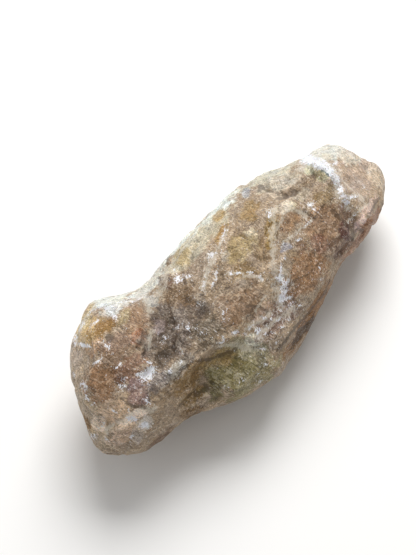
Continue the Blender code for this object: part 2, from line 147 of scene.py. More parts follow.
# Where the colours lie on the show face, in millimetres, as seen from straight above it.
colouring = {
    "viewDistance": 848,  # height of the eye over the show face
    "viewCentre": (2.7, 14.8),
    "fadeDepth": 14,  # how far behind the stone's widest line the show face's colours are gone
    "fadeRaggedness": 9,
    # size and strength of the noises that push the colours about and that fray their edges
    "drift": [(18.0, 0.8), (8.0, 1.6), (3.5, 1.0)],
    "fray": [(7.0, 0.5), (3.0, 0.35), (1.6, 0.35)],
    "rimSlope": 1.7,  # how fast a patch gains strength from its rim inwards
    "rimFray": 1.7,  # how much the fray adds to that
    "strokeDrift": 0.3,  # share of the drift that bruises, pits and cracks follow
    "strokeWobble": (2.0, 0.7),  # size and strength of a noise of their own
    "finestStroke": 0.9,  # half breadth of the narrowest stroke that the points can carry
    "fleckMargin": 3,  # loose flecks lie this far beyond twice a bruise's own reach
    "ground": "#98856F",
    # Each patch: middle, half length and half breadth, turn, colour, strength. Places and sizes were
    # set by hand, but most of the colours were worked out by a separate fitting program.
    # Some fitted colours also hold painted light and shade, lifting or deepening the shading.
    "patches": [
        # brow and top edges, pale in part as painted highlight where they face the light
        ((16, 41), (52, 7), 1, "#CDD4CE", 1),  # cream brow of the long lobe
        ((10, 33), (34, 6), 2, "#B8B09B", 0.9),
        ((72, 36), (26, 7), -14, "#B0AD9E", 1),
        ((-24, 35), (15, 4.6), 0, "#C4C4BC", 0.9),
        ((-41, 43), (14, 7), -26, "#C7CBC6", 1),  # bright bevel of the broad lobe
        ((-45, 37.5), (9, 3), -26, "#C5C6C2", 0.9),
        # broad lobe
        ((-92, 4), (7, 26), -20, "#B09F89", 0.9),  # grey tan rim
        ((-78, 30), (9, 7), 45, "#BAAA99", 0.8),
        ((-73, 13), (16, 12), 6, "#846241", 0.9),  # orange brown
        ((-60, 20), (13, 9), -6, "#7A624B", 0.9),
        ((-62, 37), (11, 8.5), 24, "#B4996B", 1),  # amber crown
        ((-57, 33.5), (10, 5), -4, "#81602A", 0.95),
        ((-60, 43.5), (10, 3), 20, "#C4B38C", 0.8),
        ((-69, 38), (6, 3.6), 40, "#C7AE84", 0.9),
        ((-66, 29), (7, 4), 10, "#B89676", 0.8),
        ((-57, 24), (9, 5), -20, "#99806D", 0.7),
        ((-41, 24), (9, 11), -8, "#8E7258", 0.95),  # rose orange beside the waist
        ((-46, 17), (5, 6), 0, "#864F28", 0.7),
        ((-44, 31), (5, 3.2), 0, "#988765", 0.95),  # yellow spot
        ((-60, 7), (15, 7), -6, "#785944", 0.85),
        ((-66, -4), (8, 8), 14, "#785F5A", 0.9),  # red brown
        ((-61, -6), (4, 3), 0, "#6B5850", 0.6),
        ((-82, -4), (8, 8), 6, "#C9B097", 0.9),  # ochre
        # low rim and jowl of the broad lobe
        ((-97, 4), (4, 6), 0, "#7D5A21", 0.8),
        ((-86, -15), (12, 5), -16, "#C0A893", 0.8),
        ((-76, -12.5), (8, 2.8), -26, "#F6E3D3", 0.8),
        ((-91, -2), (4, 5), 0, "#EEDDCE", 0.7),
        ((-79, -20), (7, 4), 14, "#B8AFA8", 0.6),  # grey chalky spot
        ((-74, -20), (4, 2.6), 0, "#D8D4D2", 0.5),
        ((-74, -30), (10, 2.6), -4, "#5F4024", 0.8),
        ((-46, -26), (9, 6), -10, "#75581E", 0.8),
        ((-52, -32), (7, 3), -14, "#65481B", 0.8),
        # grey band below the waist
        ((-55, -8.5), (12, 5), -4, "#605856", 0.8),
        ((-40, -9), (13, 4), 4, "#787269", 0.7),
        # grey brown stain over the waist
        ((-28, 7), (25, 17), 14, "#6C5E52", 1),
        ((-14, 18), (9, 10), 20, "#735A3C", 0.8),
        ((-8, 9), (4, 5), 30, "#4A4743", 0.4),
        ((-35, 14), (5, 4), 30, "#A1918D", 0.7),
        ((-28, 27), (4, 4), 30, "#B3B1A9", 0.7),
        ((-43, 2), (8, 7), 0, "#675745", 0.8),
        ((-31, 0.5), (9, 4), 4, "#4A3A2E", 0.65),
        ((-18, -6), (12, 9), 0, "#645745", 0.9),
        # wall over the hollow and the olive hollow; the wall's dark olive brown is partly painted shade
        # under the lip
        ((-40, -17.5), (18, 6), -8, "#81663D", 0.95),
        ((-22, -32), (21, 15), -16, "#726941", 1),
        ((-22, -22), (12, 5), -24, "#9F8759", 0.8),
        ((-14, -44), (18, 5), -4, "#887E58", 0.9),
        ((-6, -30), (7, 14), 28, "#9E9678", 0.85),  # its far side
        # the next patch is painted shade, dulling the highlight of a small bump
        ((-7, -38), (4, 4), 0, "#3C341A", 0.7),
        ((-2, -27), (4.5, 6), 20, "#D9D9CB", 0.7),
        ((3, -31), (3.6, 3.4), 20, "#7E7159", 0.55),
        # broad face of the long lobe
        ((1, 33), (6, 4), 0, "#927A3F", 0.7),
        ((-15, 30), (5, 4), 30, "#593616", 0.8),
        ((-6, 36.5), (3.4, 2.4), 20, "#7C5816", 0.8),
        ((20, 17), (6, 4), 0, "#BAB4AE", 0.7),
        ((30, 36.5), (6, 2.6), -10, "#997E4B", 0.9),
        ((25, 28), (8, 3), 22, "#997538", 0.9),
        ((45, 26), (8, 6), 10, "#8A6F3F", 0.8),
        ((20, 4), (8, 7), -40, "#876C40", 0.8),
        ((34, 4), (7, 9), -30, "#8A7251", 0.8),
        ((33, -8), (6, 4), 10, "#78583A", 0.5),
        # the next patch is painted light, lifting the shade of a dark facet
        ((36, 15), (3.6, 7), -14, "#E2D5BA", 0.8),
        ((27, 14), (12, 8), -6, "#A28E66", 0.9),  # honey
        ((14, 0), (5, 4), 0, "#D1BFA9", 0.7),
        ((46, 9), (14, 4), 42, "#8C7034", 0.8),
        ((7, -8), (18, 11), 4, "#82684E", 0.95),  # pinkish brown belly
        ((16, -27), (20, 8), 0, "#755E52", 0.9),  # chalky slope
        ((12, -19), (9, 3), 4, "#C1A58E", 0.6),
        ((26.5, -21.5), (6, 3.4), 14, "#B8ACA2", 0.6),
        ((45, -20), (20, 11), 6, "#8B6948", 0.95),
        ((57, 7), (8, 6), 0, "#997A5B", 0.9),
        ((72, -8), (14, 12), 0, "#8F7257", 0.9),
        ((61, -14), (9, 6), 12, "#6A422C", 0.7),
        ((53, -8), (6, 4), 10, "#6B4A30", 0.6),
        ((66, -19), (10, 3.6), 6, "#5C4230", 0.8),
        ((46, -2.5), (3.4, 3), 0, "#96939A", 0.9),  # grey spots
        ((50.5, 35), (3.2, 2.6), 0, "#84888E", 0.75),
        # basin and narrow end
        ((70, 27), (16, 5), -16, "#AFA797", 0.8),
        ((67, 19), (8, 4), -24, "#93806C", 0.8),
        ((75, 14), (5, 3), 0, "#BEB29E", 0.6),
        # the next two pale patches are painted light, lifting the shade of the groove and of the ledge
        # below it
        ((61, 15), (7, 3.6), -30, "#CABEAC", 0.7),
        ((63.5, 22.5), (5.5, 3), -52, "#C6B49C", 0.75),
        ((66, 11), (4, 2.6), 0, "#DBD1B4", 0.8),
        ((90, 15), (4.5, 6), 10, "#C7C2A3", 0.8),
        ((91, 25), (5, 3.6), -36, "#81A9B8", 0.8),  # pale crust of the ridge
        ((94.5, 15), (3.6, 8), 4, "#4D6A7B", 0.8),
        ((84, 4), (9, 5), 0, "#77613A", 0.7),
        ((87.5, 20.5), (4, 4.6), 0, "#CBCBB2", 0.8),
        ((106, 2), (14, 18), 0, "#A89482", 1),  # pinkish narrow end
        ((104, 22), (13, 7), -30, "#C5C5BB", 0.9),
        ((110, 12), (6, 9), 20, "#CBC4B7", 0.8),
        ((114, -8), (5, 10), -20, "#CBBAA4", 0.7),
        ((96, -19), (11, 3.2), 8, "#CDB2A4", 0.7),
        ((86, -14), (5, 9), -8, "#89715E", 0.9),  # grey fold
        ((70, -25), (10, 4.5), 8, "#6A4C3A", 0.8),
        ((78, -18), (4.5, 5), 0, "#4A1616", 0.8),
        ((87, -22), (6, 2.4), 6, "#EDD3CE", 0.8),
        # underside strips, brown, and darker in part as painted shade of the underside
        ((32, -39.5), (32, 4.6), 12, "#80561C", 0.95),
        ((22, -42), (14, 3), 8, "#452A02", 0.95),
        ((86, -27), (26, 3), 8, "#8A5F40", 0.9),
    ],
    # the same for the sides and the back, which are quieter
    "backPatches": [
        ((-60, 10), (34, 26), 10, "#96714A", 0.6),
        ((-10, -20), (30, 20), 20, "#7E7050", 0.6),
        ((30, 18), (34, 18), -10, "#A98C60", 0.6),
        ((70, -8), (26, 20), 12, "#8C6448", 0.6),
        ((100, 6), (18, 18), 0, "#B09476", 0.6),
        ((5, 8), (16, 12), 30, "#B8AA86", 0.6),
    ],
    # white crust and bruises: middle, half length, half breadth, turn, strength
    "bruises": [
        ((-55.4, -0.8), 6.2, 3.8, -8, 1.25), ((-59, 2.6), 3, 1.4, -20, 1.1),
        ((-66, -11), 1, 3.4, 14, 0.85), ((-70, 4), 1.6, 3, 20, 0.85),
        ((-66, 6.5), 2, 1.2, 30, 0.75), ((-9.8, 25.6), 3.4, 3, 30, 1),
        ((-8, 30), 1, 3.4, -14, 0.59), ((-4.5, 23), 0.9, 3.6, 32, 0.77),
        ((-75, -19.6), 3.8, 2.2, -30, 1.1), ((-77.5, -12.5), 1.6, 4.4, 34, 1.1),
        ((-84, -19), 3.4, 1.4, 30, 0.66), ((-70.5, 22.5), 3.2, 0.9, -10, 0.94),
        ((-64, 13.5), 3.4, 0.9, 4, 0.85), ((-61, 25), 0.8, 3.4, 0, 0.85),
        ((-81.5, -3), 0.8, 3.4, -6, 0.94), ((-76, -7), 0.7, 2.4, 10, 0.85),
        ((-84, 18), 2.2, 3.6, -24, 0.85), ((-86.5, 12), 1.3, 3.4, -14, 0.75),
        ((-84, 26), 1, 3, -10, 0.66), ((-87, 7), 2.2, 1, 0, 0.66),
        ((-71, 39), 4.6, 2, 46, 0.85), ((-69.6, 33.5), 1.5, 4.6, 26, 1.2),
        ((-48, 35), 1.6, 4.6, -12, 0.85), ((-46, 39), 6, 1.2, -32, 0.66),
        ((-36, 33), 6, 0.9, -14, 0.56), ((-64, 42), 6, 1, 28, 0.66),
        ((-56, 44.5), 6, 1, 12, 0.66), ((-61, 39), 2.4, 0.9, 30, 0.56),
        ((-57, 38.6), 3.6, 1.2, -10, 1), ((-50, 43), 6, 1, -14, 0.66),
        ((-40, 37), 6, 1, -30, 0.56), ((-32, 32), 5, 0.9, -10, 0.56),
        ((-98, -5), 2, 2.4, 0, 0.75), ((-93.5, -10), 0.7, 2.2, 0, 0.75),
        ((-91, -4), 2.6, 1, 0, 0.66), ((-46.5, -8), 1.8, 1.6, 0, 0.82),
        ((-39.5, -8.5), 2.2, 1, 20, 0.82), ((-51, 3), 1, 2.2, 20, 0.75),
        ((-36, 7), 1.6, 1.8, 0, 0.74), ((-39, 6.5), 1.6, 1, 0, 0.66),
        ((-27, 6.5), 2, 0.9, -20, 0.74), ((-23.5, 3), 1, 1.6, -20, 0.82),
        ((-21, -0.5), 1.6, 0.9, 0, 0.82), ((-20.5, -4.5), 0.8, 3, 8, 0.74),
        ((-35, -5), 1, 0.9, 0, 0.74), ((-10.5, 9), 1.2, 1.4, 0, 0.77),
        ((-15.5, -15.5), 2.6, 1.2, -20, 1.1), ((-13, -14.5), 1.2, 2.2, 0, 0.75),
        ((-7, -16.8), 2.6, 1.3, -14, 1.15), ((-4.5, -5), 0.9, 3.8, -28, 0.85),
        ((2, 9.8), 2.6, 1.2, 30, 1.1), ((7.5, 13), 5, 1, 42, 0.85),
        ((-1, 14), 5, 1.2, 40, 0.59), ((13, 23), 3.6, 1.6, -6, 0.85),
        ((25, 26.3), 5, 0.8, 30, 0.66), ((13, 7.8), 1.4, 1.4, 0, 0.85),
        ((17, 5.3), 3, 1, -30, 0.85), ((22, 1), 3.4, 1.2, -58, 0.75),
        ((24, -5), 1.3, 2.4, 0, 0.85), ((32, -12.5), 3.4, 2.8, 30, 1.15),
        ((31, -17), 5, 2.2, 14, 1.1), ((25.5, -21.8), 4, 2.6, 10, 1.15),
        ((36, -9), 1.4, 3, -50, 0.85), ((3, -25), 2.6, 2.2, -30, 1.05),
        ((1, -21), 1.4, 2.2, 0, 0.75), ((10, -22), 1, 2.4, 20, 0.75),
        ((26, -27), 4, 1.6, 0, 0.66), ((16, -29), 3, 1.2, -10, 0.75),
        ((9, -31), 1.2, 3, 14, 0.66), ((14.5, -33.5), 1.6, 0.9, -10, 0.75),
        ((46, 0), 3, 0.9, 0, 0.85), ((54, -4), 3, 1.6, -14, 0.9),
        ((41.5, -6.5), 1.2, 0.9, 0, 0.85), ((50, 36), 2.6, 1.2, 0, 0.66),
        ((52.5, 17.5), 4, 1, 44, 0.75), ((52, -24), 0.8, 1.6, 0, 0.94),
        ((49, -29), 1, 1.4, 0, 0.75), ((73, 5.5), 2.2, 2.4, 0, 1),
        ((73, 2.5), 2.2, 0.8, -10, 0.85), ((65, -0.8), 3.2, 0.8, 6, 0.75),
        ((91.5, 25), 7, 3.8, -36, 1.2), ((94, 19), 4.2, 6, 8, 1.2),
        ((95.6, 12.5), 3.2, 4.8, 0, 1.15), ((94.6, 6), 3.2, 4.6, -20, 1.12),
        ((92.8, 1), 2.6, 4.2, -20, 1.05), ((91, -4), 2.2, 4.2, 0, 0.9),
        ((90.5, -7.5), 2, 2.4, 0, 0.85), ((94.8, -7.6), 4.4, 1.6, -40, 1),
        ((101, 13.5), 2.6, 1.4, -20, 0.85), ((88, 26), 4, 2.2, -30, 0.85),
        ((104, -8), 0.7, 1.4, 0, 0.75), ((88, -16), 3, 0.8, 0, 0.66),
        ((-6, -41), 0.9, 1.6, 20, 0.47), ((-2, -34), 0.9, 2.4, 20, 0.75),
        ((6, -37), 2.4, 0.9, 0, 0.66), ((20, -33), 2.4, 0.9, 10, 0.75),
        ((30, -31), 2, 0.9, 0, 0.66), ((5, -30), 0.9, 2, 20, 0.75),
        ((13, -25), 2, 0.9, 30, 0.75), ((20, -26), 1, 2, 0, 0.75),
        ((-3, -22), 1, 2.4, 20, 0.75), ((28, -24), 2.4, 1.2, -20, 0.94),
        ((-21, -38), 1.4, 1, 20, 0.66), ((-31, -35), 1.2, 0.9, 0, 0.66),
        ((-13, -42), 1.6, 0.9, 0, 0.66), ((-15, -46), 2, 0.9, 0, 0.66),
        ((29, -20), 4.6, 2, 10, 0.95), ((91, 20), 3, 3.6, 0, 0.9),
        ((97, 17.5), 1.6, 4.4, 10, 1),
    ],
    # chalky cream veins, as ends of straight runs, their half breadth and strength
    "veins": [
        ((56, 19), (44, 6), 2, 1), ((44, 6), (34, -5), 1.8, 1),
        ((34, -5), (27, -14), 2.4, 1), ((27, -14), (22, -24), 2.6, 1),
        ((36, -8), (34, -17), 2.4, 1), ((-31, 33), (-30, 27), 2.4, 1),
        ((-30, 27), (-33, 23), 1.6, 1), ((-38, 15), (-46, 9), 1.3, 1),
        ((13, 9), (18, 4), 1.4, 1), ((18, 4), (25, -6), 1.4, 1),
        ((-46, -8), (-38, -9), 2, 1), ((-50, -13), (-34, -11), 1, 0.5),
        ((-17, -16), (-7, -28), 2, 1), ((-7, -28), (-4, -33), 1.6, 0.8),
        ((-90, -7), (-80, -10), 1.5, 1), ((-80, -10), (-69, -15), 1.8, 1),
        ((-76, -18), (-64, -17), 1.6, 1), ((50, 9), (58, 13), 1.4, 1),
        ((58, 13), (66, 12), 1.4, 1), ((65, 12), (66, 2), 1.2, 1),
        ((47, 1), (68, -1), 1, 1), ((-2, 13), (12, 22), 2.2, 1),
        ((12, 22), (30, 28), 1.2, 1), ((-12, 29), (-6, 36), 1.6, 0.6),
        ((-24, 27), (-12, 33), 1.6, 1), ((8, -16), (20, -14), 0.8, 1),
        ((84, 24), (90, 26), 2.6, 1), ((92, 27), (97, 20), 4, 1),
        ((97, 20), (97, 10), 3, 1), ((97, 10), (91, 1), 2.6, 1),
        ((91, 1), (90, -10), 2, 1), ((92, -5), (98, -10), 2, 1),
        ((64, 22), (73, 12), 1.6, 0.3), ((0, -20), (14, -23), 2.2, 1),
        ((0, -27), (26, -29), 2.4, 1), ((98, 8), (97, -16), 0.8, 1),
        ((84, -15), (99, -17), 1.2, 1), ((20, -22), (33, -17), 3, 0.8),
        ((-36, -32), (-14, -44), 5, 0.4), ((-30, -26), (-12, -34), 4, 0.3),
        ((-18, -44), (0, -44), 3, 0.5), ((-2, -24), (26, -32), 4, 0.5),
    ],
    # dark cracks, and painted shade along the edges of ledges and steps, as ends of straight runs, their
    # half breadth and strength
    "cracksAndLedgeShade": [
        ((31, -18.5), (37, -19), 0.7, 1), ((37, -19), (44, -22), 0.6, 0.8),
        ((44, -22), (60, -21.5), 0.4, 0.6), ((8, -11), (12, -15), 0.6, 1),
        ((12, -15), (14, -21), 0.6, 1), ((-10, -10), (-4, -14), 0.5, 0.6),
        ((-4, -14), (8, -16.5), 0.3, 0.5), ((-75, 0), (-73, -7), 0.6, 1),
        ((-73, -7), (-70, -11), 0.8, 1), ((-70, -11), (-66, -17), 0.6, 1),
        ((-52, -13.5), (-42, -11.5), 0.5, 0.6), ((-42, -11), (-33, -13), 0.6, 1),
        ((-33, -13), (-26, -18), 0.7, 1), ((-26, -18), (-13, -24), 0.6, 0.7),
        ((-45, -27), (-39, -28), 0.8, 1), ((80.5, -6), (81.5, -21), 1.1, 1),
        ((83, -20), (78, -25), 0.7, 1), ((68, -1), (80, 0), 0.5, 0.6),
        ((58, 33), (61, 27), 0.6, 0.8), ((62, 21), (66, 18), 0.5, 1),
        ((67, 17.5), (72, 16.5), 0.5, 1), ((96, -21.5), (106, -18.5), 0.5, 1),
        ((3, -40.5), (20, -38), 0.5, 1), ((20, -38), (45, -36), 0.5, 1),
        ((45, -36), (52, -32.5), 0.5, 1), ((-17, 33), (-13, 29), 0.6, 1),
        ((-9, 36), (-5, 38.5), 0.6, 0.7), ((46, 5), (52, 11), 0.6, 1),
        ((2, 30), (12, 26), 0.3, 0.5), ((30, 22), (44, 20), 0.4, 0.5),
    ],
    # pits and dark specks: middle and radius
    "pits": [
        ((-57.5, 27.3), 3), ((-42, 0.5), 2.8), ((-44, 2), 1.6), ((-13.5, 13), 2.2),
        ((-27, 11), 2.4), ((85, -25), 1.6), ((103, -18.5), 1.8), ((60, 32), 2.2),
        ((66.5, 18.5), 2.2), ((72, 17), 1.8), ((94, 11), 1.8), ((-7, 36), 1.8),
        ((58, 31), 1.6), ((81, -10), 1.8), ((-34, -28), 1.4), ((-44, -27), 2),
        ((9, -26), 2), ((24, -24), 2.2), ((26, -12.5), 1.6),
    ],
}

def smoothThrough(x, knots, values):
    # A curve through the knots: an eased step between neighbours plus a bend that keeps both slopes.
    slopes = np.gradient(values, knots)
    i = np.clip(np.searchsorted(knots, x) - 1, 0, len(knots) - 2)
    gap = knots[i + 1] - knots[i]
    t = np.clip((x - knots[i]) / gap, 0, 1)
    ease = t * t * (3 - 2 * t)
    bend = gap * t * (1 - t) * (slopes[i] * (1 - t) - slopes[i + 1] * t)
    return values[i] * (1 - ease) + values[i + 1] * ease + bend


def scatter(cell, seed):
    # Whole-number mixing of a cell's three indices gives two repeatable numbers from 0 to 1.
    key = cell[:, 0] * 73856093 ^ cell[:, 1] * 19349663 ^ cell[:, 2] * 83492791 ^ seed * 2654435
    key = (key ^ (key >> 13)) * 1274126177 & 0x7FFFFFFF
    key = (key ^ (key >> 15)) * 668265263 & 0x7FFFFFFF
    return (key & 0x7FFF) / 32768, (key >> 15 & 0x7FFF) / 32768


def direction(cell, seed):
    # A unit vector for each cell: one number turns it and the other sets its rise.
    turn, rise = scatter(cell, seed)
    rise = 2 * rise - 1
    flat = np.sqrt(1 - rise * rise)
    return np.stack([flat * np.cos(math.tau * turn), flat * np.sin(math.tau * turn), rise], axis=1)


def noise(points, size, seed):
    # Gradient noise: each lattice corner's vector dotted with the way to it, blended by eased shares.
    p = points / size
    cell = np.floor(p).astype(np.int64)
    inside = p - cell
    ease = inside**3 * (inside * (inside * 6 - 15) + 10)
    total = np.zeros(len(p))
    for corner in product((0, 1), repeat=3):
        share = np.where(corner, ease, 1 - ease).prod(axis=1)
        total += share * (direction(cell + corner, seed) * (inside - corner)).sum(axis=1)
    return total * 1.6  # brings it to about -1 to 1


def facets(points, size, seed, crispness):
    # Tilted flat patches on a turned, stretched and drifting lattice. Each cell has a point up to 0.4
    # off its middle, with a plane and a weight of its own. The nearest and heaviest plane wins by an
    # exponential of the distance squared, and noise 40 mm wide makes the whole uneven.
    drift = np.stack([noise(points, 1.1 * size, seed + k) for k in range(3)], axis=1)
    p = points @ np.array(Matrix.Rotation(0.6, 3, (1, 2, 3))) * (0.75, 1, 1.2) / size + 0.35 * drift
    home = np.floor(p).astype(np.int64)
    total = np.zeros(len(p))
    weight = np.full(len(p), 1e-9)
    for step in product((-1, 0, 1), repeat=3):
        cell = home + step
        away = p - cell - 0.5 - 0.4 * direction(cell, seed)
        share = np.exp(-crispness * (away * away).sum(axis=1) + 4 * scatter(cell, seed + 90)[0])
        total += share * (direction(cell, seed + 50) * away).sum(axis=1)
        weight += share
    return total / weight * (0.75 + 0.7 * noise(points, 40.0, seed + 70))


def turned(points, middle, degrees):
    # The way from a middle to each point, turned about the n axis.
    c, s = math.cos(math.radians(degrees)), math.sin(math.radians(degrees))
    q = points - middle
    q[:, :2] = np.stack([c * q[:, 0] + s * q[:, 1], c * q[:, 1] - s * q[:, 0]], axis=1)
    return q


def loft(ring, turn):
    # Squared ellipses along the length: l = middle - reach cos(ring). Each section's breadths are
    # divided by its fullness, sqrt(1 - x^2), and multiplied by sin(ring), which rounds both tips.
    low, high = form["tips"]
    middle, reach = (high + low) / 2, (high - low) / 2
    where, upper, lower, show, back = np.array(form["sections"]).T
    fullness = np.sqrt(1 - ((where - middle) / reach) ** 2)
    l = middle - reach * np.cos(ring)
    close = np.sin(ring)
    centre = smoothThrough(l, where, (upper + lower) / 2)
    half = smoothThrough(l, where, (upper - lower) / 2 / fullness) * close
    front = smoothThrough(l, where, show / fullness) * close
    rear = smoothThrough(l, where, back / fullness) * close
    c, s = np.cos(turn), np.sin(turn)
    k = form["squareness"]
    size = (np.abs(c) ** k + np.abs(s) ** k) ** (-1 / k)
    return np.stack([l, centre + half * c * size, np.where(s > 0, front, rear) * s * size], axis=1)


def outward(points):
    # Away from the length axis, with a share along it that grows with the fifth power near the tips.
    low, high = form["tips"]
    away = points * (0, 1, 1)
    away[:, 0] = 40 * ((2 * points[:, 0] - high - low) / (high - low)) ** 5
    return away / np.linalg.norm(away, axis=1, keepdims=True)


def swell(points, middle, reach, degrees, height, shape):
    # Pushes points outward by height times (1 - distance^shape)^1.4, nothing beyond the reach.
    q = turned(points, middle, degrees) / reach
    share = np.clip(1 - np.linalg.norm(q, axis=1) ** shape, 0, 1) ** 1.4
    return points + outward(points) * (height * share)[:, None]


def flatBreak(points, at, facing, span, rounding, waviness):
    # Pushes back whatever stands past a wavy plane, by a soft ramp of how far past it stands. It acts
    # within a span of the length, and fades at the span's ends by a logistic step 2.5 mm wide.
    facing = np.array(facing) / np.linalg.norm(facing)
    l = points[:, 0]
    share = 1 / ((1 + np.exp((span[0] - l) / 2.5)) * (1 + np.exp((l - span[1]) / 2.5)))
    past = (points - at) @ facing + waviness * noise(points, 16.0, 7)
    return points - facing * (share * rounding * np.logaddexp(0, past / rounding))[:, None]


def hackly(points):
    # How broken the surface is, from 0.15 to 1.6: noise 30 mm wide, plus a bell curve at each place.
    level = 0.75 + 0.55 * noise(points, 30.0, 61)
    for middle, reach, change in form["brokenness"]:
        q = (points - middle) / reach
        level += change * np.exp(-(q * q).sum(axis=1))
    return np.clip(level, 0.15, 1.6)


def stonePoints(ring, turn):
    # The loft, then breaks, swells, facets and lumps in the solid's order, then the finer roughness.
    points = loft(ring, turn)
    for feature in form["breaks"]:
        points = flatBreak(points, *feature)
    for feature in form["swells"]:
        points = swell(points, *feature)
    away = outward(points)
    plain = points
    for seed, (size, height) in enumerate(form["facets"]):
        push = height * facets(plain, size, seed + 11, form["facetCrispness"])
        points = points + away * push[:, None]
    for seed, (size, height) in enumerate(form["lumps"]):
        points = points + away * (height * noise(plain, size, seed + 31))[:, None]
    broken = hackly(plain)
    for seed, (size, height) in enumerate(form["hackle"]):
        push = broken * height * facets(plain, size, seed + 81, form["hackleCrispness"])
        points = points + away * push[:, None]
    for seed, (size, height) in enumerate(form["grit"]):
        points = points + away * (broken * height * noise(plain, size, seed + 95))[:, None]
    return points, broken


def laidDown(points):
    # Leans the show face, turns the stone on to its resting side and flattens the resting spot,
    # then fits the result to the solid's own box.
    points = points.copy()
    points[:, 2] -= form["lean"] * (points[:, 0] - sum(form["tips"]) / 2)
    lay = Matrix.Rotation(math.radians(form["roll"]), 3, "X")
    lay = lay @ Matrix.Rotation(math.radians(form["pitch"]), 3, "Y")
    points = points @ np.array(lay).T
    points[:, 2] = np.maximum(points[:, 2] + form["restDepth"], 0)
    low, high = (np.array(corner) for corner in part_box("calcite_stone"))
    share = (points - points.min(axis=0)) / np.ptp(points, axis=0)
    return low + share * (high - low)


def blurred(grid, times):
    # Repeated 1-2-1 averaging round each ring and between rings; the end rings stay.
    for _ in range(times):
        grid = (np.roll(grid, 1, axis=1) + 2 * grid + np.roll(grid, -1, axis=1)) / 4
        grid[1:-1] = (grid[:-2] + 2 * grid[1:-1] + grid[2:]) / 4
    return grid


def toLinear(hexColour):
    # sRGB hex to linear: the low part divides by 12.92, the rest is a shifted 2.4 power.
    value = np.array([int(hexColour[i : i + 2], 16) / 255 for i in (1, 3, 5)])
    return np.where(value < 0.04045, value / 12.92, ((value + 0.055) / 1.055) ** 2.4)


def paint(colour, place, patches, amount, fray):
    # Lays each patch over the last: its share is an eased step of one minus the distance squared, frayed.
    for middle, reach, degrees, hexColour, strength in patches:
        q = turned(place, (*middle, 0), degrees)[:, :2] / reach
        inside = 1 - (q * q).sum(axis=1)
        share = np.clip(colouring["rimSlope"] * inside + colouring["rimFray"] * fray, 0, 1)
        share = (share * share * (3 - 2 * share) * strength * amount)[:, None]
        colour = colour * (1 - share) + toLinear(hexColour) * share
    return colour


def strokeField(place, strokes):
    # The strongest stroke's strength, times one minus the squared distance from its middle to its rim.
    field = np.zeros(len(place))
    for middle, halfLength, halfBreadth, degrees, strength in strokes:
        reach = halfLength, max(halfBreadth, colouring["finestStroke"])
        q = turned(place, (*middle, 0), degrees)[:, :2] / reach
        field = np.maximum(field, strength * (1 - (q * q).sum(axis=1)))
    return field


def veinField(place, runs):
    # The strength on the line between a run's two ends, falling to 0 at twice its half breadth.
    field = np.zeros(len(place))
    for start, end, half, strength in runs:
        start, way = np.array(start), np.array(end) - start
        along = np.clip(((place[:, :2] - start) @ way) / (way @ way), 0, 1)
        gap = np.linalg.norm(place[:, :2] - start - along[:, None] * way, axis=1)
        field = np.maximum(field, strength * (1 - gap / (2 * half)))
    return field


def giveAttribute(mesh, name, values):
    # One number or one colour for each point, for the material to read.
    kind, key = ("FLOAT", "value") if values.ndim == 1 else ("FLOAT_COLOR", "color")
    attribute = mesh.attributes.new(name, kind, "POINT")
    attribute.data.foreach_set(key, values.astype(np.float32).ravel())


